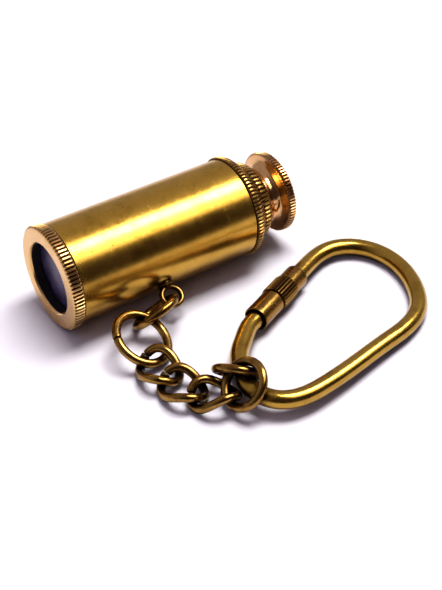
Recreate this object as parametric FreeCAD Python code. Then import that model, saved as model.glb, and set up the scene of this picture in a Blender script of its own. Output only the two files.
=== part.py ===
import FreeCAD, Part
import math
import os

V = FreeCAD.Vector

# Driving dimensions, millimetres.  The barrel's axis runs along +X from the window end to the eye end.
# X = 0 is the window face while the part is drawn; SHIFT moves the drawing to the row frame.
SHIFT = V(-33.245, 18.989, 0.0)
AXIS_Z = 10.46           # height of the barrel's axis: the knurled bezel rests on the ground
BARREL_R = 10.0
BARREL_BORE = 9.2
BARREL_X0 = 2.50
BARREL_X1 = 41.10
BEZEL_TIP_R = 10.45
BEZEL_ROOT_R = 10.17
BEZEL_LEN = 2.38
BEZEL_TEETH = 66
WINDOW_R = 7.05
GLASS_R = 7.75
SKIRT_R = 9.13           # turns inside the barrel's bore
SKIRT_X1 = 8.40
SKIRT_BORE = 7.80
GLASS_X = 2.10
GLASS_T = 0.9
CELL_X1 = 5.60           # inner face of the object cell
MIRROR_X0 = 8.70
MIRROR_X1 = 38.30
MIRROR_T = 0.9
SLEEVE_R = 9.15
SLEEVE_BORE = 8.80
COLLAR_X0 = 41.20
COLLAR_X1 = 44.30
COLLAR_TIP_R = 10.42
COLLAR_TEETH = 60
RING2_X1 = 47.40
EYE_X1 = 52.30
FLANGE_TIP_R = 8.42
FLANGE_TEETH = 60
LUG_X = 20.16
LUG_ANGLE = 27.6         # degrees below the level, on the near side
LUG_REACH = 12.70        # from the barrel's axis to the eye's centre
EYE_MEAN_R = 2.05
EYE_WIRE_R = 0.45
LINK_WIRE_R = 0.83
SHACKLE_WIRE_R = 1.72


def save(shape, name):
    shape = shape.copy()
    shape.translate(SHIFT)
    shape.exportStep("parts/" + name + ".step")


def turned(points):
    """Solid of revolution about the barrel's axis from (x, radius) points."""
    pts = [V(x, 0, AXIS_Z + r) for x, r in points]
    face = Part.Face(Part.makePolygon(pts + [pts[0]]))
    return face.revolve(V(0, 0, AXIS_Z), V(1, 0, 0), 360)


def cyl(x0, x1, r):
    return Part.makeCylinder(r, x1 - x0, V(x0, 0, AXIS_Z), V(1, 0, 0))


def toothed(x0, x1, tip_r, root_r, teeth):
    """Straight-knurled bar: a saw-toothed outline drawn across the axis and pulled along it."""
    pts = []
    for i in range(teeth):
        a = 2 * math.pi * i / teeth
        step = math.pi / teeth
        for k, r in ((-0.28, tip_r), (0.28, tip_r), (1.0, root_r)):
            pts.append(V(x0, r * math.cos(a + k * step), AXIS_Z + r * math.sin(a + k * step)))
    face = Part.Face(Part.makePolygon(pts + [pts[0]]))
    return face.extrude(V(x1 - x0, 0, 0))


def make_barrel():
    tube = turned([(BARREL_X0, BARREL_BORE), (BARREL_X0, BARREL_R - 0.1), (BARREL_X0 + 0.1, BARREL_R),
                   (BARREL_X1 - 0.1, BARREL_R), (BARREL_X1, BARREL_R - 0.1), (BARREL_X1, BARREL_BORE)])
    save(tube, "barrel")


def make_bezel():
    outer = turned([(0.0, 0.0), (0.0, 9.75), (0.10, 10.05), (0.45, BEZEL_TIP_R), (BEZEL_LEN - 0.25, BEZEL_TIP_R),
                    (BEZEL_LEN, BEZEL_ROOT_R - 0.05), (BEZEL_LEN, 0.0)])
    rim = toothed(-0.5, BEZEL_LEN + 0.5, BEZEL_TIP_R, BEZEL_ROOT_R, BEZEL_TEETH).common(outer)
    skirt = cyl(BEZEL_LEN - 0.2, SKIRT_X1, SKIRT_R)
    body = rim.fuse(skirt)
    bore = turned([(-0.5, 0.0), (-0.5, WINDOW_R + 0.35), (0.0, WINDOW_R + 0.30), (0.35, WINDOW_R),
                   (GLASS_X, WINDOW_R), (GLASS_X, SKIRT_BORE), (SKIRT_X1 + 0.5, SKIRT_BORE), (SKIRT_X1 + 0.5, 0.0)])
    save(body.cut(bore), "front_bezel")


def make_cell():
    dome = Part.makeSphere(60.0, V(GLASS_X - 0.20 + 60.0, 0, AXIS_Z))
    disc = cyl(GLASS_X - 0.25, GLASS_X + GLASS_T, 6.95).common(dome)
    seat = cyl(GLASS_X + 0.22, GLASS_X + GLASS_T, GLASS_R)
    save(disc.fuse(seat), "front_glass")
    x0 = GLASS_X + GLASS_T + 0.02
    save(cyl(x0, CELL_X1, GLASS_R).cut(cyl(x0 - 1, CELL_X1 + 1, 7.05)), "cell_spacer")
    save(cyl(CELL_X1 + 0.02, CELL_X1 + 0.82, GLASS_R), "inner_glass")
    save(cyl(CELL_X1 + 0.84, CELL_X1 + 1.84, GLASS_R).cut(cyl(CELL_X1, CELL_X1 + 3, 6.6)), "cell_retainer")


def chip(x, y, z, size, turn, kind):
    """One loose chip of coloured glass, laid in the cell at (x, y, z)."""
    if kind == 0:
        body = Part.makeSphere(size, V(x, y, z))
    elif kind == 1:
        body = Part.makeBox(0.8, 2 * size, 1.4 * size, V(x - 0.4, y - size, z - 0.7 * size))
        body.rotate(V(x, y, z), V(1, 0, 0), turn)
    else:
        pts = [V(x - 0.4, y + size * math.cos(k * 2.0944), z + size * math.sin(k * 2.0944)) for k in range(3)]
        body = Part.Face(Part.makePolygon(pts + [pts[0]])).extrude(V(0.8, 0, 0))
        body.rotate(V(x, y, z), V(1, 0, 0), turn)
    return body


def make_chips():
    mid = (GLASS_X + GLASS_T + CELL_X1) / 2
    layout = {
        "chips_red": [(-4.6, -2.9, 0.9, 10, 0), (0.4, -5.4, 1.1, 25, 2), (3.4, -1.6, 0.8, 40, 1)],
        "chips_blue": [(-1.9, -4.3, 1.0, 0, 1), (4.5, -3.6, 0.9, 0, 0), (-2.6, 0.2, 1.0, 15, 2)],
        "chips_amber": [(-4.2, -0.6, 0.9, 50, 2), (2.3, -4.2, 0.8, 0, 0), (0.2, -1.9, 0.9, 30, 1)],
        "chips_green": [(-2.5, -2.3, 0.7, 0, 0), (1.9, 0.5, 0.9, 70, 2), (5.2, -1.0, 0.8, 15, 1)],
    }
    for name, items in layout.items():
        solids = [chip(mid, y, AXIS_Z + z, s, t, k) for y, z, s, t, k in items]
        save(Part.makeCompound(solids), name)


def make_mirrors():
    save(cyl(MIRROR_X0, MIRROR_X1, SLEEVE_R).cut(cyl(MIRROR_X0 - 1, MIRROR_X1 + 1, SLEEVE_BORE)), "mirror_sleeve")
    apothem = 4.30
    half = 6.55
    for i, name in enumerate(("mirror_a", "mirror_b", "mirror_c")):
        strip = Part.makeBox(MIRROR_X1 - MIRROR_X0 - 0.4, 2 * half, MIRROR_T,
                             V(MIRROR_X0 + 0.2, -half, AXIS_Z - apothem - MIRROR_T))
        strip.rotate(V(0, 0, AXIS_Z), V(1, 0, 0), 120 * i)
        save(strip, name)
    disc = cyl(MIRROR_X1 + 0.30, MIRROR_X1 + 0.90, SLEEVE_R - 0.05)
    save(disc.cut(cyl(MIRROR_X1, MIRROR_X1 + 2, 1.6)), "sight_disc")


def make_rear():
    outer = turned([(COLLAR_X0, 0.0), (COLLAR_X0, 10.0), (COLLAR_X0 + 0.3, COLLAR_TIP_R), (42.15, COLLAR_TIP_R),
                    (42.75, 10.1), (43.5, 9.35), (COLLAR_X1, 8.45), (COLLAR_X1, 0.0)])
    core = turned([(COLLAR_X0, 0.0), (COLLAR_X0, 9.8), (COLLAR_X0 + 0.3, 10.14), (42.05, 10.14),
                   (42.6, 9.86), (43.4, 9.07), (COLLAR_X1, 8.1), (COLLAR_X1, 0.0)])
    knurl = teeth_ribs(COLLAR_X0 - 1, COLLAR_X1 + 1, 7.5, 11.0, COLLAR_TEETH, 0.0).common(outer)
    body = core.fuse(knurl)
    body = body.fuse(cyl(MIRROR_X1 + 1.0, COLLAR_X0 + 0.2, SKIRT_R))
    body = body.cut(cyl(MIRROR_X1, COLLAR_X0 - 0.8, 8.2))
    save(body.cut(cyl(MIRROR_X1, COLLAR_X1 + 1, 5.6)), "rear_collar")
    outer = turned([(COLLAR_X1 + 0.06, 0.0), (COLLAR_X1 + 0.06, 8.0), (44.8, 8.15), (45.9, 7.9), (46.6, 7.45),
                    (47.05, 6.8), (RING2_X1, 6.1), (RING2_X1, 0.0)])
    core = turned([(COLLAR_X1 + 0.06, 0.0), (COLLAR_X1 + 0.06, 7.75), (44.8, 7.88), (45.85, 7.66), (46.5, 7.3),
                   (47.05, 6.78), (RING2_X1, 6.08), (RING2_X1, 0.0)])
    knurl = teeth_ribs(COLLAR_X1 + 0.06, 46.6, 6.5, 9.0, COLLAR_TEETH, 3.0).common(outer)
    save(core.fuse(knurl).cut(cyl(COLLAR_X1 - 1, RING2_X1 + 1, 4.55)), "eyepiece_ring")


def teeth_ribs(x0, x1, r0, r1, teeth, phase):
    """Ribs that stand round the axis, one per tooth, to be trimmed to a profile."""
    ribs = []
    half = math.pi * r1 / teeth * 0.46
    low = math.pi * r0 / teeth * 0.80
    for i in range(teeth):
        pts = [V(x0, -low, AXIS_Z + r0), V(x0, low, AXIS_Z + r0), V(x0, half * 0.75, AXIS_Z + r1),
               V(x0, -half * 0.75, AXIS_Z + r1)]
        rib = Part.Face(Part.makePolygon(pts + [pts[0]])).extrude(V(x1 - x0, 0, 0))
        rib.rotate(V(0, 0, AXIS_Z), V(1, 0, 0), phase + 360.0 * i / teeth)
        ribs.append(rib)
    return Part.makeCompound(ribs)


def make_eyepiece():
    flange_x0 = 50.45
    body = turned([(45.2, 0.0), (45.2, 4.50), (RING2_X1 + 0.05, 4.50), (RING2_X1 + 0.05, 5.95), (47.9, 5.85),
                   (48.4, 5.75), (49.0, 5.85), (49.6, 6.35), (50.05, 7.15), (50.35, 7.95), (flange_x0, 8.12),
                   (51.85, 8.12), (EYE_X1, 7.65), (EYE_X1, 0.0)])
    rim = turned([(flange_x0 - 0.1, 7.0), (flange_x0 - 0.05, 8.2), (flange_x0 + 0.15, FLANGE_TIP_R),
                  (51.75, FLANGE_TIP_R), (52.2, 7.95), (52.2, 7.0)])
    knurl = teeth_ribs(flange_x0 - 1, EYE_X1 + 1, 7.4, 9.0, FLANGE_TEETH, 0.0).common(rim)
    body = body.fuse(knurl)
    cup = turned([(50.6, 0.0), (50.6, 2.5), (51.2, 4.4), (EYE_X1, 6.4), (EYE_X1 + 1, 6.6), (EYE_X1 + 1, 0.0)])
    body = body.cut(cup).cut(cyl(44, 51, 2.5)).cut(cyl(44, 46.6, 3.6))
    save(body, "eyepiece")
    save(cyl(45.3, 46.55, 3.55), "eye_lens")


def make_lug():
    a = math.radians(LUG_ANGLE)
    out = V(0, -math.cos(a), -math.sin(a))
    side = V(0, -math.sin(a), math.cos(a))
    axis = V(LUG_X, 0, AXIS_Z)
    eye = Part.makeTorus(EYE_MEAN_R, EYE_WIRE_R, axis + out * LUG_REACH, side)
    post = Part.makeCylinder(0.75, LUG_REACH - EYE_MEAN_R - 9.9, axis + out * 9.9, out)
    pad = Part.makeCylinder(1.6, 0.9, axis + out * 9.7, out).cut(cyl(0, 60, BARREL_R + 0.005))
    post = post.cut(cyl(0, 60, BARREL_R + 0.005))
    save(eye.fuse(post).fuse(pad), "lug")


def swept_wire(points, radius):
    """Round wire along a smooth curve through the points, with flat ends."""
    curve = Part.BSplineCurve()
    curve.interpolate([V(*p) for p in points])
    path = Part.Wire([curve.toShape()])
    start = curve.value(curve.FirstParameter)
    tangent = curve.tangent(curve.FirstParameter)[0]
    ring = Part.Wire([Part.makeCircle(radius, start, tangent)])
    shell = path.makePipeShell([ring], True, True)
    return shell


def link_points(center, e1, e2, a, b, lift, start_deg, gap_mm):
    """Centre line of a bent-wire link: an oval whose ends are twisted, with a butt cut at start_deg."""
    e1 = V(*e1).normalize()
    n = e1.cross(V(*e2)).normalize()
    e2 = n.cross(e1)
    half_gap = gap_mm / (a + b)
    pts = []
    count = 40
    for i in range(count + 1):
        t = math.radians(start_deg) + half_gap + (2 * math.pi - 2 * half_gap) * i / count
        p = V(*center) + e1 * (a * math.cos(t)) + e2 * (b * math.sin(t)) - n * (lift * math.sin(2 * t))
        pts.append((p.x, p.y, p.z))
    return pts


# Links of the chain, in order from the lug: centre, then three angles in degrees (heading of the long axis
# from +X, its rise above the level, and the roll about it), half axes of the centre line, twist lift, place of
# the butt cut (degrees from the long axis).
LINKS = [
    ("lug_ring", (15.45, -12.90, 3.95), (142, -40, -160), (4.40, 4.40), 0.00, 338),
    ("large_ring", (9.45, -17.85, 3.75), (-97, -21, -18), (5.53, 5.11), 0.00, 262),
    ("curb_link_1", (8.40, -25.10, 2.35), (-91, -2, 7), (4.27, 3.39), 1.25, 180),
    ("curb_link_2", (9.35, -31.60, 2.20), (-75, -2, 4), (4.27, 3.39), 1.25, 172),
    ("curb_link_3", (12.65, -36.75, 2.50), (-48, 8, -3), (4.27, 3.39), 1.25, 180),
    ("end_ring", (16.95, -39.90, 5.10), (-60, 30, 39), (4.24, 4.24), 0.00, 217),
    ("shackle_ring", (18.70, -35.70, 4.00), (-59, 15, 133), (4.12, 4.12), 0.00, 180),
]
# Centre line of the shackle seen from above, from the arm's end inside the sleeve right round to the stub.
SHACKLE_BEND = [(52.6, -14.75), (56.4, -14.35), (60.3, -15.75), (63.4, -19.2), (64.75, -24.2), (64.2, -29.2),
                (62.2, -34.2), (59.0, -38.4), (54.6, -41.1), (47.0, -43.0), (38.0, -44.95), (29.6, -46.45),
                (24.6, -46.6), (20.9, -45.2), (18.8, -42.2), (18.55, -38.6), (19.8, -34.8), (22.2, -31.0),
                (25.0, -28.3)]
SHACKLE_RISE_X = -0.0430         # slope of the shackle's plane: it lies on the sleeve and on the ring below it
SHACKLE_RISE_Y = 0.011
SHACKLE_LOW = (60.0, -37.0, 1.82)
LOCK_FOOT = (30.3, -24.7)        # centre of the sleeve's open end, seen from above
LOCK_HEAD = (45.0, -17.95)
STUB_LEN = 2.6                   # length of the stub inside the sleeve
ARM_END = 6.0                    # where the long arm ends inside the sleeve
LOCK_LEN = 16.2
LOCK_PLAIN_R = 2.46
LOCK_BORE = 2.16
LOCK_GRIP_R = 2.74
LOCK_GRIP = (6.9, 11.9)
LOCK_TEETH = 26
BUSH_R = 2.10
BUSH_BORE = 1.79


def lift_to_plane(x, y):
    return SHACKLE_LOW[2] + SHACKLE_RISE_X * (x - SHACKLE_LOW[0]) + SHACKLE_RISE_Y * (y - SHACKLE_LOW[1])


def lock_axis():
    foot = V(LOCK_FOOT[0], LOCK_FOOT[1], lift_to_plane(*LOCK_FOOT))
    head = V(LOCK_HEAD[0], LOCK_HEAD[1], lift_to_plane(*LOCK_HEAD))
    return foot, (head - foot).normalize()


def make_links():
    for name, center, angles, half, lift, cut_deg in LINKS:
        h, d, r = (math.radians(v) for v in angles)
        e1 = V(math.cos(h) * math.cos(d), math.sin(h) * math.cos(d), math.sin(d))
        level = V(-math.sin(h), math.cos(h), 0)
        e2 = level * math.cos(r) + e1.cross(level) * math.sin(r)
        pts = link_points(center, e1, e2, half[0], half[1], lift, cut_deg, 0.16)
        save(swept_wire(pts, LINK_WIRE_R), name)


def make_shackle():
    """One round wire: a straight arm inside the sleeve, the bend, and a straight stub in the sleeve's open end."""
    foot, u = lock_axis()
    arm_b = foot + u * (LOCK_LEN + 3.6)
    stub_a = foot - u * 0.6
    arm_steps = [u * (ARM_END + (LOCK_LEN + 3.6 - ARM_END) * i / 6.0) for i in range(6)]
    stub_steps = [u * ((STUB_LEN + 0.6) * i / 3.0) for i in (1, 2, 3)]
    bend = [V(x, y, lift_to_plane(x, y)) for x, y in SHACKLE_BEND]
    pts = [foot + step for step in arm_steps] + [arm_b, arm_b + u * 1.3]
    pts = pts + bend + [stub_a - u * 1.2, stub_a] + [stub_a + step for step in stub_steps]
    curve = Part.BSplineCurve()
    curve.interpolate(pts)
    ring = Part.Wire([Part.makeCircle(SHACKLE_WIRE_R, pts[0], curve.tangent(curve.FirstParameter)[0])])
    sweep = Part.BRepOffsetAPI.MakePipeShell(Part.Wire([curve.toShape()]))
    sweep.setBiNormalMode(V(SHACKLE_RISE_X, SHACKLE_RISE_Y, -1.0))
    sweep.add(ring)
    sweep.build()
    sweep.makeSolid()
    save(sweep.shape(), "shackle")


def along(profile):
    """Solid of revolution about the sleeve's axis from (distance, radius) points."""
    foot, u = lock_axis()
    pts = [V(r, 0, s) for s, r in profile]
    face = Part.Face(Part.makePolygon(pts + [pts[0]]))
    body = face.revolve(V(0, 0, 0), V(0, 0, 1), 360)
    body.Placement = FreeCAD.Placement(foot, FreeCAD.Rotation(V(0, 0, 1), u))
    return body


def make_lock():
    g0, g1 = LOCK_GRIP
    tip = LOCK_GRIP_R
    root = LOCK_GRIP_R - 0.20
    pts = []
    for i in range(LOCK_TEETH):
        a = 2 * math.pi * i / LOCK_TEETH
        step = math.pi / LOCK_TEETH
        for k, r in ((-0.3, tip), (0.3, tip), (1.0, root)):
            pts.append(V(r * math.cos(a + k * step), r * math.sin(a + k * step), g0))
    grip = Part.Face(Part.makePolygon(pts + [pts[0]])).extrude(V(0, 0, g1 - g0))
    foot, u = lock_axis()
    grip.Placement = FreeCAD.Placement(foot, FreeCAD.Rotation(V(0, 0, 1), u))
    limit = along([(g0, 0.0), (g0, root), (g0 + 0.25, tip + 0.05), (g1 - 0.25, tip + 0.05), (g1, root), (g1, 0.0)])
    plain = along([(0.0, 0.0), (0.0, LOCK_PLAIN_R - 0.12), (0.12, LOCK_PLAIN_R), (LOCK_LEN - 0.15, LOCK_PLAIN_R),
                   (LOCK_LEN, LOCK_PLAIN_R - 0.15), (LOCK_LEN, 0.0)])
    body = plain.fuse(grip.common(limit))
    hole = along([(-1.0, 0.0), (-1.0, LOCK_BORE), (LOCK_LEN - 0.5, LOCK_BORE), (LOCK_LEN - 0.5, BUSH_BORE),
                  (LOCK_LEN + 1.0, BUSH_BORE), (LOCK_LEN + 1.0, 0.0)])
    save(body.cut(hole), "lock_sleeve")
    bush = along([(ARM_END + 0.6, BUSH_BORE), (ARM_END + 0.6, BUSH_R), (LOCK_LEN - 0.55, BUSH_R),
                  (LOCK_LEN - 0.55, BUSH_BORE)])
    save(bush, "lock_bushing")


def main():
    os.makedirs("parts", exist_ok=True)
    make_barrel()
    make_bezel()
    make_cell()
    make_chips()
    make_mirrors()
    make_rear()
    make_eyepiece()
    make_lug()
    make_links()
    make_shackle()
    make_lock()


main()
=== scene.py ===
import math

import bmesh
import bpy
import numpy as np
from mathutils import Matrix, Vector


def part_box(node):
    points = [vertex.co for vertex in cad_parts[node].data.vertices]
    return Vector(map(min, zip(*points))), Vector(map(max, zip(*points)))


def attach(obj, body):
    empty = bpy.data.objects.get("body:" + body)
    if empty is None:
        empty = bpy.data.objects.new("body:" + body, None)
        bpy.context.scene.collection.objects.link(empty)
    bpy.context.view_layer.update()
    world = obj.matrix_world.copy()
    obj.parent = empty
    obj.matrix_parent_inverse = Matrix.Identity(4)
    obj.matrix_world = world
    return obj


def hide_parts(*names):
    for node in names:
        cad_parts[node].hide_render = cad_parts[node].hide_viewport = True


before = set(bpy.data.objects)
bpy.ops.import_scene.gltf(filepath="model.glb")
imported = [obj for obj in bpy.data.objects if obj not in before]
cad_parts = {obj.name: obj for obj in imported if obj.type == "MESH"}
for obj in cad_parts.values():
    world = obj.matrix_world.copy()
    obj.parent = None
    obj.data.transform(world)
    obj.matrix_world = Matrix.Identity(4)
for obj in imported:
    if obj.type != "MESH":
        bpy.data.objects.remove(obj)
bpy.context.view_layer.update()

MM = 0.001
TAU = 2 * math.pi

# The barrel's axis and the window face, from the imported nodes.  Profiles below are in millimetres from them.
bar_lo, bar_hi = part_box("barrel")
FACE_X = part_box("front_bezel")[0].x
AXIS_Y = (bar_lo.y + bar_hi.y) / 2
AXIS_Z = (bar_lo.z + bar_hi.z) / 2
ALONG_BARREL = Matrix.Translation((FACE_X, AXIS_Y, AXIS_Z))
# Ridges round each knurl.
BEZEL_RIDGES, COLLAR_RIDGES, RING_RIDGES, FLANGE_RIDGES, SLEEVE_RIDGES = 83, 84, 55, 77, 26
# The chain and the lock are laid out from the same corner, on the ground.
GROUND = Matrix.Translation((FACE_X, AXIS_Y, 0.0))
LOCK_FOOT = Vector((30.3, -24.7, 3.2324))
LOCK_DIR = Vector((0.908232, 0.417045, -0.034466)).normalized()


# ---------------------------------------------------------------- meshes

def make_object(name, verts, faces, sharp_deg=32.0, uvs=None, darkening=None):
    mesh = bpy.data.meshes.new(name)
    mesh.from_pydata([tuple(v) for v in verts], [], faces)
    # per-point weights of painted shade, kept on the mesh for the brass material
    if darkening is not None:
        mesh.attributes.new("darkening", "FLOAT", "POINT").data.foreach_set("value", darkening)
    if uvs is not None:
        layer = mesh.uv_layers.new(name="UVMap")
        for loop in mesh.loops:
            layer.data[loop.index].uv = uvs[loop.vertex_index]
    mesh.validate()
    mesh.polygons.foreach_set("use_smooth", [True] * len(mesh.polygons))
    mesh.set_sharp_from_angle(angle=math.radians(sharp_deg))
    mesh.update()
    obj = bpy.data.objects.new(name, mesh)
    bpy.context.scene.collection.objects.link(obj)
    return obj


def rounded(profile, steps=4):
    """Profile of (x, root r, tip r, corner, shade) points with every corner turned into a short curve.

    The fifth value is painted shade, darkening the surface at seams, grooves and end faces. The corner is 0.06 mm
    and the shade 0 where a point doesn't give them.
    """
    pts = [np.array([*p[:3], p[4] if len(p) > 4 else 0.0], float) for p in profile]
    out = []
    n = len(pts)
    for i in range(n):
        a, p, b = pts[i - 1], pts[i], pts[(i + 1) % n]
        size = profile[i][3] if len(profile[i]) > 3 else 0.06
        da, db = np.linalg.norm(a - p), np.linalg.norm(b - p)
        if size <= 0 or da < 1e-6 or db < 1e-6:
            out.append(p)
            continue
        s = p + (a - p) * min(size / da, 0.45)
        e = p + (b - p) * min(size / db, 0.45)
        for k in range(steps + 1):
            t = k / steps
            out.append((1 - t) ** 2 * s + 2 * t * (1 - t) * p + t * t * e)
    return out


def tooth(u):
    """Height of a worn knurl ridge, 0 in the groove and 1 on the land, for u from 0 to 1 round one tooth."""
    d = abs(u - 0.5) * 2
    t = min(max((1.0 - d - 0.14) / 0.56, 0.0), 1.0)
    return t * t * (3 - 2 * t)


def turned(name, profile, place, segs=192, teeth=0, phase=0.0, steps=4, wobble=0.0):
    """Closed profile turned about the local X axis.  With teeth, the tip radius is reached on each ridge."""
    ring = rounded(profile, steps)
    if teeth:
        segs = teeth * 12
    verts, faces, darkening = [], [], []
    for j in range(segs):
        a = TAU * j / segs
        h = tooth((j * teeth / segs + phase) % 1.0) if teeth else 0.0
        if teeth and wobble:
            k = int(j * teeth / segs + phase)
            h *= 1.0 - wobble * (0.5 + 0.5 * math.sin(k * 2.3 + 0.7) * math.cos(k * 0.61))
        for x, r0, r1, painted_shade in ring:
            r = r0 + (r1 - r0) * h
            verts.append(place @ (Vector((x, -r * math.sin(a), r * math.cos(a))) * MM))
            # painted shade: darker in the knurl grooves and at profile points given a fifth value
            darkening.append(max(painted_shade, min(1.0, (r1 - r0) / 0.2) * (1.0 - h) ** 1.3))
    n = len(ring)
    for j in range(segs):
        k = (j + 1) % segs
        for i in range(n):
            m = (i + 1) % n
            faces.append((j * n + i, j * n + m, k * n + m, k * n + i))
    obj = make_object(name, verts, faces, 40.0 if teeth else 30.0, darkening=darkening)
    fix_normals(obj)
    return obj


def fix_normals(obj):
    bm = bmesh.new()
    bm.from_mesh(obj.data)
    bmesh.ops.recalc_face_normals(bm, faces=bm.faces)
    bm.to_mesh(obj.data)
    bm.free()
    obj.data.update()


def tube(name, line, radius, place, around=28, cap=0.22):
    """Round wire along an open line of points, with softly broken ends."""
    p = np.array(line, float)
    t = np.gradient(p, axis=0)
    t /= np.linalg.norm(t, axis=1)[:, None]
    ref = np.cross(t[0], [0.13, 0.21, 0.97])
    ref /= np.linalg.norm(ref)
    dist = np.r_[0.0, np.cumsum(np.linalg.norm(np.diff(p, axis=0), axis=1))]
    rows, frames = [], []
    for i in range(len(p)):
        ref = ref - t[i] * (ref @ t[i])
        ref /= np.linalg.norm(ref)
        frames.append((p[i], ref.copy(), np.cross(t[i], ref)))
    first, last = frames[0], frames[-1]
    steps = 5

    def worn(q):
        """Radius at q of the way from the flat end to the full wire."""
        return radius - cap * (1 - math.sqrt(max(0.0, 1 - (1 - q) ** 2)))

    for k in range(steps):
        q = k / steps
        rows.append((first[0] + t[0] * cap * q, first[1], first[2], worn(q), cap * q))
    rows += [(c, u, v, radius, s) for (c, u, v), s in zip(frames, dist) if cap <= s <= dist[-1] - cap]
    for k in range(steps):
        q = 1 - (k + 1) / steps
        rows.append((last[0] - t[-1] * cap * q, last[1], last[2], worn(q), dist[-1] - cap * q))
    verts, uvs, faces = [], [], []
    for c, u, v, r, s in rows:
        for j in range(around):
            a = TAU * j / around
            q = c + (u * math.cos(a) + v * math.sin(a)) * r
            verts.append(place @ (Vector(q) * MM))
            uvs.append((s / 10.0, j / around))
    for i in range(len(rows) - 1):
        for j in range(around):
            k = (j + 1) % around
            faces.append((i * around + j, i * around + k, (i + 1) * around + k, (i + 1) * around + j))
    faces.append(tuple(range(around)))
    faces.append(tuple(range(len(rows) * around - 1, (len(rows) - 1) * around - 1, -1)))
    obj = make_object(name, verts, faces, 50.0, uvs)
    fix_normals(obj)
    return obj


def link_line(center, angles, half, lift, cut_deg, gap=0.16, count=150):
    """Centre line of a bent-wire link: an oval whose ends are twisted, open at its butt cut."""
    h, d, r = (math.radians(a) for a in angles)
    e1 = np.array([math.cos(h) * math.cos(d), math.sin(h) * math.cos(d), math.sin(d)])
    level = np.array([-math.sin(h), math.cos(h), 0.0])
    e2 = level * math.cos(r) + np.cross(e1, level) * math.sin(r)
    n = np.cross(e1, e2)
    a, b = half
    hg = gap / (a + b)
    pts = []
    for i in range(count + 1):
        t = math.radians(cut_deg) + hg + (TAU - 2 * hg) * i / count
        pts.append(np.array(center) + e1 * a * math.cos(t) + e2 * b * math.sin(t) - n * lift * math.sin(2 * t))
    return pts


def joined(name, objs, voxel, smooth):
    """One skin over several overlapping meshes, as cast or soldered metal has."""
    for o in bpy.context.selected_objects:
        o.select_set(False)
    for o in objs:
        o.select_set(True)
    bpy.context.view_layer.objects.active = objs[0]
    bpy.ops.object.join()
    obj = bpy.context.view_layer.objects.active
    obj.name = name
    obj.data.name = name
    mod = obj.modifiers.new("skin", "REMESH")
    mod.mode = "VOXEL"
    mod.voxel_size = voxel * MM
    mod.use_smooth_shade = True
    soft = obj.modifiers.new("soft", "SMOOTH")
    soft.factor = 0.5
    soft.iterations = smooth
    bpy.context.view_layer.update()
    dg = bpy.context.evaluated_depsgraph_get()
    mesh = bpy.data.meshes.new_from_object(obj.evaluated_get(dg))
    obj.modifiers.clear()
    obj.data = mesh
    obj.data.polygons.foreach_set("use_smooth", [True] * len(obj.data.polygons))
    return obj


# ---------------------------------------------------------------- materials

def new_material(name):
    mat = bpy.data.materials.new(name)
    mat.use_nodes = True
    return mat, mat.node_tree, mat.node_tree.nodes["Principled BSDF"]


def node(tree, kind, **inputs):
    n = tree.nodes.new(kind)
    for key, value in inputs.items():
        n.inputs[key.replace("_", " ")].default_value = value
    return n


def ramp(tree, source, stops):
    n = tree.nodes.new("ShaderNodeValToRGB")
    el = n.color_ramp.elements
    while len(el) < len(stops):
        el.new(0.5)
    for e, (pos, col) in zip(el, stops):
        e.position = pos
        e.color = (*col, 1.0) if len(col) == 3 else (col[0],) * 3 + (1.0,)
    tree.links.new(source, n.inputs["Fac"])
    return n.outputs["Color"]


def mapped(tree, scale, source="Object"):
    co = tree.nodes.new("ShaderNodeTexCoord")
    m = tree.nodes.new("ShaderNodeMapping")
    m.inputs["Scale"].default_value = scale
    tree.links.new(co.outputs[source], m.inputs["Vector"])
    return m.outputs["Vector"]


def noise(tree, vector, scale, detail=3.0, rough=0.5):
    n = node(tree, "ShaderNodeTexNoise", Scale=scale, Detail=detail, Roughness=rough)
    tree.links.new(vector, n.inputs["Vector"])
    return n.outputs["Fac"]


def mix(tree, fac, a, b, mode="MIX"):
    n = tree.nodes.new("ShaderNodeMix")
    n.data_type = "RGBA"
    n.blend_type = mode
    # a colour mix has its factor, A and B at these places among the sockets of every type
    for sock, value in ((n.inputs[0], fac), (n.inputs[6], a), (n.inputs[7], b)):
        if isinstance(value, (int, float)):
            sock.default_value = value
        elif isinstance(value, tuple):
            sock.default_value = (*value, 1.0)
        else:
            tree.links.new(value, sock)
    return n.outputs[2]


def math_node(tree, op, a, b=0.0, clamp=False):
    n = tree.nodes.new("ShaderNodeMath")
    n.operation = op
    n.use_clamp = clamp
    for sock, value in ((n.inputs[0], a), (n.inputs[1], b)):
        if isinstance(value, (int, float)):
            sock.default_value = value
        else:
            tree.links.new(value, sock)
    return n.outputs[0]


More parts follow.
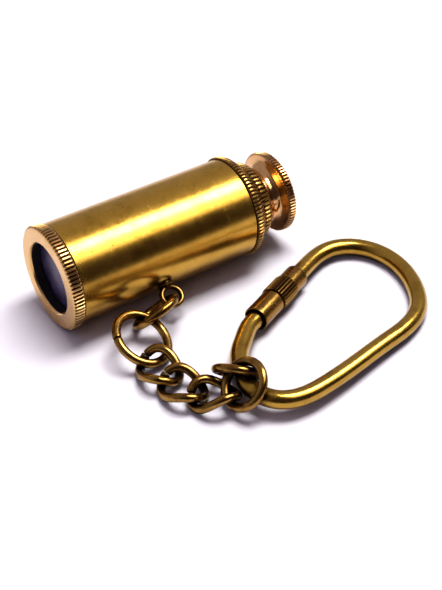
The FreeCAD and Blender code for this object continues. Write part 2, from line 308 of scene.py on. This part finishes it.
def brass(name, bright, deep, darkening, rough=(0.16, 0.34), lines=(1400.0, 60.0, 60.0), line_depth=0.06, pits=0.35,
          shade_strength=0.5, uv=False, reach=0.0011):
    """Worn brass: blotches of tarnish, fine drawn or turned lines, small pits, and painted shade in corners, knurl
    grooves and seams.
    """
    mat, tree, bsdf = new_material(name)
    links = tree.links
    bsdf.inputs["Metallic"].default_value = 1.0
    plain = mapped(tree, (1000.0, 1000.0, 1000.0))
    blotch = noise(tree, plain, 0.22, 4.0, 0.6)
    speck = noise(tree, plain, 2.6, 4.0, 0.65)
    if uv:
        fine = noise(tree, mapped(tree, (3.0, 90.0, 1.0), "UV"), 3.0, 4.0, 0.7)
    else:
        fine = noise(tree, mapped(tree, lines), 1.0, 4.0, 0.65)
    tone = math_node(tree, "ADD", math_node(tree, "MULTIPLY", blotch, 0.6), math_node(tree, "MULTIPLY", speck, 0.4))
    colour = ramp(tree, tone, [(0.34, deep), (0.52, bright), (0.70, tuple(min(1.0, c * 1.06) for c in bright))])
    colour = mix(tree, math_node(tree, "MULTIPLY", fine, 0.45), colour, deep)
    holes = tree.nodes.new("ShaderNodeTexVoronoi")
    holes.inputs["Scale"].default_value = 0.55
    holes.inputs["Randomness"].default_value = 1.0
    links.new(plain, holes.inputs["Vector"])
    pit = math_node(tree, "LESS_THAN", holes.outputs["Distance"], 0.085)
    which = math_node(tree, "GREATER_THAN", noise(tree, plain, 0.9, 1.0, 0.5), 0.56)
    pit = math_node(tree, "MULTIPLY", pit, which)
    colour = mix(tree, math_node(tree, "MULTIPLY", pit, pits), colour, darkening)
    # painted shade: darker where ambient occlusion finds surfaces close by, in corners, crevices and where wires
    # cross
    ao = tree.nodes.new("ShaderNodeAmbientOcclusion")
    ao.samples = 6
    ao.inputs["Distance"].default_value = reach
    occlusion_shade = math_node(tree, "MULTIPLY", math_node(tree, "SUBTRACT", 1.0, ao.outputs["AO"]), shade_strength, True)
    colour = mix(tree, occlusion_shade, colour, darkening)
    # painted shade from the mesh's per-point weights: knurl grooves, seams and end faces darkened
    shade_weights = tree.nodes.new("ShaderNodeAttribute")
    shade_weights.attribute_name = "darkening"
    painted_shade = math_node(tree, "MULTIPLY", shade_weights.outputs["Fac"],
                     math_node(tree, "ADD", math_node(tree, "MULTIPLY", speck, 0.5), 0.68), True)
    colour = mix(tree, painted_shade, colour, darkening)
    links.new(colour, bsdf.inputs["Base Color"])
    r = math_node(tree, "ADD", math_node(tree, "MULTIPLY", tone, rough[1] - rough[0]), rough[0])
    r = math_node(tree, "ADD", r, math_node(tree, "MULTIPLY", fine, 0.12))
    r = math_node(tree, "ADD", r, math_node(tree, "MULTIPLY", occlusion_shade, 0.25), True)
    r = math_node(tree, "ADD", r, math_node(tree, "MULTIPLY", painted_shade, 0.3), True)
    links.new(r, bsdf.inputs["Roughness"])
    height = math_node(tree, "ADD", math_node(tree, "MULTIPLY", fine, 0.9), math_node(tree, "MULTIPLY", speck, 0.6))
    height = math_node(tree, "SUBTRACT", height, math_node(tree, "MULTIPLY", pit, 1.2))
    bump = tree.nodes.new("ShaderNodeBump")
    bump.inputs["Strength"].default_value = line_depth
    bump.inputs["Distance"].default_value = 0.00005
    links.new(height, bump.inputs["Height"])
    links.new(bump.outputs["Normal"], bsdf.inputs["Normal"])
    return mat


def dull(name, light, dark, scale, rough, bump_mm=0.01, metal=0.0):
    """Matt card, paint or plastic with a fine uneven surface."""
    mat, tree, bsdf = new_material(name)
    bsdf.inputs["Metallic"].default_value = metal
    plain = mapped(tree, (1000.0, 1000.0, 1000.0))
    n = noise(tree, plain, scale, 5.0, 0.6)
    tree.links.new(ramp(tree, n, [(0.35, dark), (0.65, light)]), bsdf.inputs["Base Color"])
    tree.links.new(math_node(tree, "ADD", math_node(tree, "MULTIPLY", n, 0.15), rough - 0.07),
                   bsdf.inputs["Roughness"])
    bump = tree.nodes.new("ShaderNodeBump")
    bump.inputs["Strength"].default_value = 0.4
    bump.inputs["Distance"].default_value = bump_mm * MM
    tree.links.new(n, bump.inputs["Height"])
    tree.links.new(bump.outputs["Normal"], bsdf.inputs["Normal"])
    return mat


def glass(name, colour, cloud, rough, clear=1.0):
    """Glass with a little cloudiness and uneven polish."""
    mat, tree, bsdf = new_material(name)
    bsdf.inputs["Transmission Weight"].default_value = clear
    bsdf.inputs["IOR"].default_value = 1.5
    plain = mapped(tree, (1000.0, 1000.0, 1000.0))
    n = noise(tree, plain, 0.5, 4.0, 0.6)
    tree.links.new(ramp(tree, n, [(0.35, colour), (0.7, cloud)]), bsdf.inputs["Base Color"])
    tree.links.new(math_node(tree, "ADD", math_node(tree, "MULTIPLY", n, rough * 0.6), rough * 0.7),
                   bsdf.inputs["Roughness"])
    return mat


# A brass's fourth colour is what its pits and its painted shade darken to.
M = {
    "barrel_brass": brass("barrel_brass", (0.64, 0.42, 0.105), (0.47, 0.29, 0.055), (0.06, 0.03, 0.006),
                          (0.11, 0.26), (1300.0, 45.0, 45.0), 0.14, 0.9),
    "bezel_brass": brass("bezel_brass", (0.80, 0.56, 0.29), (0.66, 0.41, 0.15), (0.020, 0.008, 0.003),
                         (0.10, 0.24), (900.0, 40.0, 40.0), 0.05, 0.2, 0.9),
    "collar_brass": brass("collar_brass", (0.66, 0.44, 0.17), (0.46, 0.27, 0.08), (0.03, 0.011, 0.003),
                          (0.12, 0.26), (900.0, 40.0, 40.0), 0.05, 0.2, 1.1),
    # The eyepiece colours are partly its own tone, partly toned down as painted shade.
    "eyepiece_brass": brass("eyepiece_brass", (0.78, 0.51, 0.27), (0.64, 0.36, 0.14), (0.022, 0.008, 0.003),
                            (0.06, 0.15), (900.0, 40.0, 40.0), 0.03, 0.15, 1.0),
    # The chain colours are partly its own darker tone, partly painted shade on and between the links.
    "chain_brass": brass("chain_brass", (0.44, 0.285, 0.095), (0.18, 0.10, 0.03), (0.014, 0.007, 0.003),
                         (0.09, 0.24), line_depth=0.08, pits=0.3, shade_strength=2.2, uv=True, reach=0.0019),
    "shackle_brass": brass("shackle_brass", (0.54, 0.365, 0.095), (0.35, 0.22, 0.045), (0.018, 0.009, 0.004),
                           (0.10, 0.25), (200.0, 200.0, 900.0), 0.06, 0.3, 1.9, reach=0.0022),
    # The lock colours are partly its own darker tone, partly painted shade on the sleeve.
    "lock_brass": brass("lock_brass", (0.39, 0.245, 0.075), (0.20, 0.11, 0.035), (0.018, 0.008, 0.003),
                        (0.11, 0.26), (300.0, 300.0, 300.0), 0.06, 0.25, 1.2),
    "window_glass": glass("window_glass", (0.19, 0.165, 0.34), (0.32, 0.28, 0.47), 0.30, 0.70),
    "clear_glass": glass("clear_glass", (0.90, 0.94, 0.95), (0.97, 0.98, 0.98), 0.03),
    "mirror_face": dull("mirror_face", (0.90, 0.91, 0.92), (0.84, 0.85, 0.87), 0.4, 0.11, 0.002, 1.0),
    "dark_card": dull("dark_card", (0.11, 0.095, 0.08), (0.05, 0.045, 0.04), 3.0, 0.85),
    "spacer_black": dull("spacer_black", (0.035, 0.033, 0.035), (0.012, 0.012, 0.013), 2.0, 0.5),
    "red_glass": glass("red_glass", (0.80, 0.03, 0.04), (0.92, 0.08, 0.06), 0.05),
    "blue_glass": glass("blue_glass", (0.03, 0.10, 0.75), (0.08, 0.20, 0.88), 0.05),
    "amber_glass": glass("amber_glass", (0.95, 0.48, 0.02), (1.0, 0.62, 0.08), 0.05),
    "green_glass": glass("green_glass", (0.02, 0.50, 0.12), (0.08, 0.64, 0.20), 0.05),
}


# A much darker copy of the chain brass for the lug: painted shade, for the lug on the barrel's lower side.
LUG_SHADED_BRASS = brass("lug_brass_shaded", (0.27, 0.17, 0.06), (0.09, 0.05, 0.015), (0.012, 0.006, 0.002),
                  (0.10, 0.24), (200.0, 200.0, 200.0), 0.06, 0.3, 2.4, reach=0.002)


def place_piece(obj, body, nodes, slot_name, mat=None):
    obj.data.materials.clear()
    obj.data.materials.append(mat or M[slot_name])
    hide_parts(*nodes)
    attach(obj, body)
    return obj


# ---------------------------------------------------------------- the instrument

tube_wall = turned("barrel_tube", [
    (2.50, 9.20, 9.20, 0.03, 1), (2.50, 9.95, 9.95, 0.03, 0.9), (2.60, 10.0, 10.0, 0.03), (21.0, 10.0, 10.0, 0),
    (41.00, 10.0, 10.0, 0.03), (41.10, 9.95, 9.95, 0.03, 0.9), (41.10, 9.20, 9.20, 0.03, 1)], ALONG_BARREL, 256)
place_piece(tube_wall, "barrel", ["barrel"], "barrel_brass")

bezel = turned("window_bezel", [
    (0.35, 7.05, 7.05, 0.12), (0.0, 7.33, 7.33, 0.12), (0.0, 9.78, 9.78, 0.10), (0.12, 10.02, 10.07, 0.08),
    (0.42, 10.08, 10.45, 0.12), (2.06, 10.08, 10.45, 0.12), (2.38, 10.08, 10.14, 0.05, 0.8),
    (2.39, 9.60, 9.60, 0.02, 1), (2.39, 9.15, 9.15, 0.02, 1),
    (8.40, 9.13, 9.13, 0.06), (8.40, 7.80, 7.80, 0.05), (2.10, 7.80, 7.80, 0.02), (2.10, 7.05, 7.05, 0.04)],
    ALONG_BARREL, teeth=BEZEL_RIDGES, wobble=0.12)
place_piece(bezel, "object_cell", ["front_bezel"], "bezel_brass")

# A thin black sheet over the wall of the window recess: painted shade for the dark recess.
recess_shade_sheet = turned("window_recess_shade", [
    (0.42, 6.97, 6.97, 0.02), (0.42, 7.06, 7.06, 0.02), (2.08, 7.06, 7.06, 0.01), (2.08, 6.97, 6.97, 0.01)],
    ALONG_BARREL, 128)
recess_shade_sheet.data.materials.append(M["spacer_black"])
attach(recess_shade_sheet, "object_cell")

glass_line = [(2.10 - 0.20 + 60.0 - math.sqrt(60.0 ** 2 - r * r), r) for r in np.linspace(0.05, 6.90, 14)]
window = turned("window_glass", [(x, r, r, 0) for x, r in glass_line] + [
    (2.30, 6.93, 6.93, 0), (2.34, 7.74, 7.74, 0.03), (2.99, 7.74, 7.74, 0.03), (2.99, 0.05, 0.05, 0)],
    ALONG_BARREL, 128)
place_piece(window, "object_cell", ["front_glass"], "window_glass")

collar = turned("rear_collar", [
    (41.20, 5.60, 5.60, 0.03), (41.20, 9.80, 9.80, 0.02, 1), (41.22, 10.0, 10.04, 0.03, 0.7),
    (41.46, 10.12, 10.42, 0.10), (42.10, 10.12, 10.42, 0.15),
    (42.66, 9.84, 10.14, 0.20), (43.44, 9.05, 9.38, 0.20), (44.30, 8.10, 8.42, 0.08, 0.3),
    (44.30, 5.60, 5.60, 0.03, 1)],
    ALONG_BARREL, teeth=COLLAR_RIDGES, wobble=0.15)
place_piece(collar, "barrel", ["rear_collar"], "collar_brass")

ring2 = turned("eyepiece_ring", [
    (44.36, 4.55, 4.55, 0.03), (44.36, 7.72, 7.98, 0.05, 0.8), (44.80, 7.84, 8.15, 0.15), (45.88, 7.62, 7.90, 0.2),
    (46.45, 7.34, 7.52, 0.15), (46.72, 7.22, 7.24, 0.10), (47.05, 6.80, 6.80, 0.2), (47.40, 6.10, 6.10, 0.08),
    (47.40, 4.55, 4.55, 0.03)], ALONG_BARREL, teeth=RING_RIDGES, phase=0.5, wobble=0.15)
place_piece(ring2, "barrel", ["eyepiece_ring"], "collar_brass")

eye = turned("eyepiece_body", [
    (45.20, 3.60, 3.60, 0.03), (45.20, 4.50, 4.50, 0.04), (47.45, 4.50, 4.50, 0.02), (47.45, 5.95, 5.95, 0.06),
    (47.90, 5.85, 5.85, 0.2), (48.40, 5.75, 5.75, 0.3), (49.00, 5.85, 5.85, 0.3), (49.60, 6.35, 6.35, 0.4),
    (50.05, 7.15, 7.15, 0.35), (50.35, 7.95, 7.98, 0.15), (50.52, 8.10, 8.32, 0.08), (50.72, 8.14, 8.42, 0.08),
    (51.70, 8.14, 8.42, 0.12), (52.10, 7.86, 7.98, 0.12), (52.30, 7.62, 7.62, 0.08), (52.30, 6.45, 6.45, 0.12),
    (51.20, 4.40, 4.40, 0.30), (50.60, 2.50, 2.50, 0.12), (46.60, 2.50, 2.50, 0.03), (46.60, 3.60, 3.60, 0.03)],
    ALONG_BARREL, teeth=FLANGE_RIDGES, steps=5, wobble=0.10)
place_piece(eye, "barrel", ["eyepiece"], "eyepiece_brass")

# The lug: a soldered pad, a short waisted post and a wire eye.
LUG_X, LUG_DOWN, LUG_OUT = 20.16, math.radians(27.6), 12.70
out_dir = Vector((0, -math.cos(LUG_DOWN), -math.sin(LUG_DOWN)))
side_dir = Vector((0, -math.sin(LUG_DOWN), math.cos(LUG_DOWN)))
lug_place = ALONG_BARREL @ Matrix.Translation(Vector((LUG_X, 0, 0)) * MM) @ Matrix((
    (out_dir.x, 1, 0, 0), (out_dir.y, 0, side_dir.y, 0), (out_dir.z, 0, side_dir.z, 0), (0, 0, 0, 1)))
EYE_R, EYE_WIRE_R = 1.98, 0.52
EYE_SEGS, EYE_AROUND = 96, 20
verts, faces = [], []
for i in range(EYE_SEGS):
    a = TAU * i / EYE_SEGS
    centre = Vector((LUG_OUT + EYE_R * math.cos(a), EYE_R * math.sin(a), 0.0))
    d = Vector((math.cos(a), math.sin(a), 0))
    for j in range(EYE_AROUND):
        b = TAU * j / EYE_AROUND
        round_wire = d * EYE_WIRE_R * math.cos(b) + Vector((0, 0, EYE_WIRE_R * math.sin(b)))
        verts.append(lug_place @ ((centre + round_wire) * MM))
for i in range(EYE_SEGS):
    for j in range(EYE_AROUND):
        k, m = (i + 1) % EYE_SEGS, (j + 1) % EYE_AROUND
        faces.append((i * EYE_AROUND + j, k * EYE_AROUND + j, k * EYE_AROUND + m, i * EYE_AROUND + m))
lug_eye = make_object("lug_eye", verts, faces)
lug_post = turned("lug_post", [
    (9.90, 0.02, 0.02, 0), (9.90, 1.58, 1.58, 0.02), (10.30, 1.55, 1.55, 0.12), (10.55, 1.20, 1.20, 0.25),
    (10.80, 0.72, 0.72, 0.15), (11.05, 0.60, 0.60, 0.1), (11.05, 0.02, 0.02, 0)], lug_place, 48)
lug = joined("lug_loop", [lug_eye, lug_post], 0.075, 5)
place_piece(lug, "barrel", ["lug"], "chain_brass", LUG_SHADED_BRASS)

# ---------------------------------------------------------------- the chain

LINK_R = 0.83
LINKS = [
    ("lug_ring", (15.45, -12.90, 3.95), (142, -40, -160), (4.40, 4.40), 0.00, 338),
    ("large_ring", (9.45, -17.85, 3.75), (-97, -21, -18), (5.53, 5.11), 0.00, 262),
    ("curb_link_1", (8.40, -25.10, 2.35), (-91, -2, 7), (4.27, 3.39), 1.25, 180),
    ("curb_link_2", (9.35, -31.60, 2.20), (-75, -2, 4), (4.27, 3.39), 1.25, 172),
    ("curb_link_3", (12.65, -36.75, 2.50), (-48, 8, -3), (4.27, 3.39), 1.25, 180),
    ("end_ring", (16.95, -39.90, 5.10), (-60, 30, 39), (4.24, 4.24), 0.00, 217),
    ("shackle_ring", (18.70, -35.70, 4.00), (-59, 15, 133), (4.12, 4.12), 0.00, 180),
]
for link_name, centre, angles, half, lift, cut in LINKS:
    wire = tube(link_name + "_wire", link_line(centre, angles, half, lift, cut), LINK_R, GROUND)
    place_piece(wire, link_name, [link_name], "chain_brass")

# ---------------------------------------------------------------- the lock sleeve

side = LOCK_DIR.cross(Vector((0, 0, 1))).normalized()
up = side.cross(LOCK_DIR).normalized()
lock_place = GROUND @ Matrix.Translation(LOCK_FOOT * MM) @ Matrix((
    (LOCK_DIR.x, side.x, up.x, 0), (LOCK_DIR.y, side.y, up.y, 0), (LOCK_DIR.z, side.z, up.z, 0), (0, 0, 0, 1)))
sleeve = turned("lock_sleeve_body", [
    (0.0, 2.16, 2.16, 0.10), (0.0, 2.38, 2.38, 0.08), (0.14, 2.46, 2.46, 0.08), (6.50, 2.46, 2.46, 0.05),
    (6.58, 2.26, 2.26, 0.02, 1), (6.90, 2.26, 2.26, 0.02, 1), (6.92, 2.40, 2.62, 0.03, 0.3),
    (7.10, 2.46, 2.74, 0.08), (11.66, 2.46, 2.74, 0.08), (11.88, 2.40, 2.60, 0.04, 0.3),
    (11.92, 2.26, 2.26, 0.02, 1), (12.14, 2.26, 2.26, 0.02, 1), (12.20, 2.40, 2.40, 0.05),
    (16.05, 2.42, 2.42, 0.08), (16.20, 2.30, 2.30, 0.08), (16.20, 1.79, 1.79, 0.05),
    (15.70, 1.79, 1.79, 0.02), (15.70, 2.16, 2.16, 0.02)], lock_place, teeth=SLEEVE_RIDGES, wobble=0.12)
place_piece(sleeve, "lock_sleeve", ["lock_sleeve"], "lock_brass")

# ---------------------------------------------------------------- CAD nodes that stay

KEPT = {
    "shackle": "shackle_brass", "lock_bushing": "lock_brass", "cell_spacer": "spacer_black",
    "inner_glass": "clear_glass", "cell_retainer": "spacer_black", "chips_red": "red_glass",
    "chips_blue": "blue_glass", "chips_amber": "amber_glass", "chips_green": "green_glass",
    "mirror_sleeve": "dark_card", "mirror_a": "mirror_face", "mirror_b": "mirror_face",
    "mirror_c": "mirror_face", "sight_disc": "dark_card", "eye_lens": "clear_glass",
}
for node_name, slot_name in KEPT.items():
    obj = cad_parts[node_name]
    for s in obj.material_slots:
        s.material = M[slot_name]

# ---------------------------------------------------------------- stage, light, camera

floor_mesh = bpy.data.meshes.new("floor")
floor_mesh.from_pydata([(-3, -3, 0), (3, -3, 0), (3, 3, 0), (-3, 3, 0)], [], [(0, 1, 2, 3)])
floor = bpy.data.objects.new("floor", floor_mesh)
bpy.context.scene.collection.objects.link(floor)
floor_mat, tree, bsdf = new_material("floor_white")
bsdf.inputs["Roughness"].default_value = 0.8
bsdf.inputs["Specular IOR Level"].default_value = 0.2
paper = noise(tree, mapped(tree, (1000.0, 1000.0, 1000.0)), 0.05, 3.0)
tree.links.new(ramp(tree, paper, [(0.3, (0.60, 0.59, 0.61)), (0.7, (0.63, 0.62, 0.64))]), bsdf.inputs["Base Color"])
floor.data.materials.append(floor_mat)


def area_light(name, toward, distance, size, radiance, colour=(1, 1, 1), glossy=True, diffuse=True):
    """A soft panel in the given direction, facing the object, with its long side along the barrel."""
    data = bpy.data.lights.new(name, "AREA")
    data.shape = "RECTANGLE"
    data.size, data.size_y = size
    data.energy = radiance * math.pi * size[0] * size[1]
    data.color = colour
    obj = bpy.data.objects.new(name, data)
    out = Vector(toward).normalized()
    wide = (Vector((1, 0, 0)) - out * out.x).normalized()
    tall = out.cross(wide)
    where = out * distance
    obj.matrix_world = Matrix((
        (wide.x, tall.x, out.x, where.x), (wide.y, tall.y, out.y, where.y),
        (wide.z, tall.z, out.z, where.z), (0, 0, 0, 1)))
    obj.visible_glossy = glossy
    obj.visible_diffuse = diffuse
    bpy.context.scene.collection.objects.link(obj)
    return obj


area_light("softbox", (0.446, -0.11, 0.886), 0.55, (0.46, 0.16), 9.0, (1.0, 0.97, 0.93), True, False)
area_light("softbox_edge", (0.446, -0.40, 0.80), 0.55, (0.46, 0.22), 2.0, (1.0, 0.95, 0.86), True, False)
area_light("window_light", (0.24, 0.08, 0.96), 0.70, (0.44, 0.28), 14.2, (1.0, 0.985, 1.0), False, True)
area_light("fill", (-0.55, -0.35, 0.75), 0.80, (0.8, 0.8), 0.55, (0.94, 0.76, 1.0), False, True)

world = bpy.data.worlds.new("room")
world.use_nodes = True
wt = world.node_tree
back = wt.nodes["Background"]
co = wt.nodes.new("ShaderNodeTexCoord")
sep = wt.nodes.new("ShaderNodeSeparateXYZ")
wt.links.new(co.outputs["Generated"], sep.inputs["Vector"])
half_y = wt.nodes.new("ShaderNodeMath")
half_y.operation = "MULTIPLY_ADD"
half_y.inputs[1].default_value = 0.5
half_y.inputs[2].default_value = 0.5
wt.links.new(sep.outputs["Y"], half_y.inputs[0])
# the room is dark towards the viewer and lighter behind the object
room = ramp(wt, half_y.outputs[0], [(0.20, (0.06, 0.05, 0.062)), (0.62, (0.37, 0.345, 0.38))])
wt.links.new(room, back.inputs["Color"])
back.inputs["Strength"].default_value = 1.0
bpy.context.scene.world = world

cam_data = bpy.data.cameras.new("camera")
cam_data.sensor_fit = "AUTO"
cam_data.sensor_width = 36.0
cam_data.lens = 78.2628
cam_data.shift_x = -0.0330
cam_data.shift_y = -0.0034
cam_data.clip_start = 0.01
cam_data.clip_end = 10.0
cam = bpy.data.objects.new("camera", cam_data)
look = Vector((0.4464, 0.6380, -0.6275)).normalized()
right = Vector((0.8205, -0.5716, 0.0025))
right = (right - look * right.dot(look)).normalized()
above = right.cross(look)
spot = Vector((-0.1117998, -0.1562303, 0.1592383))
cam.matrix_world = Matrix((
    (right.x, above.x, -look.x, spot.x), (right.y, above.y, -look.y, spot.y),
    (right.z, above.z, -look.z, spot.z), (0, 0, 0, 1)))
bpy.context.scene.collection.objects.link(cam)
bpy.context.scene.camera = cam

bpy.context.scene.view_settings.view_transform = "Standard"
bpy.context.scene.view_settings.look = "High Contrast"
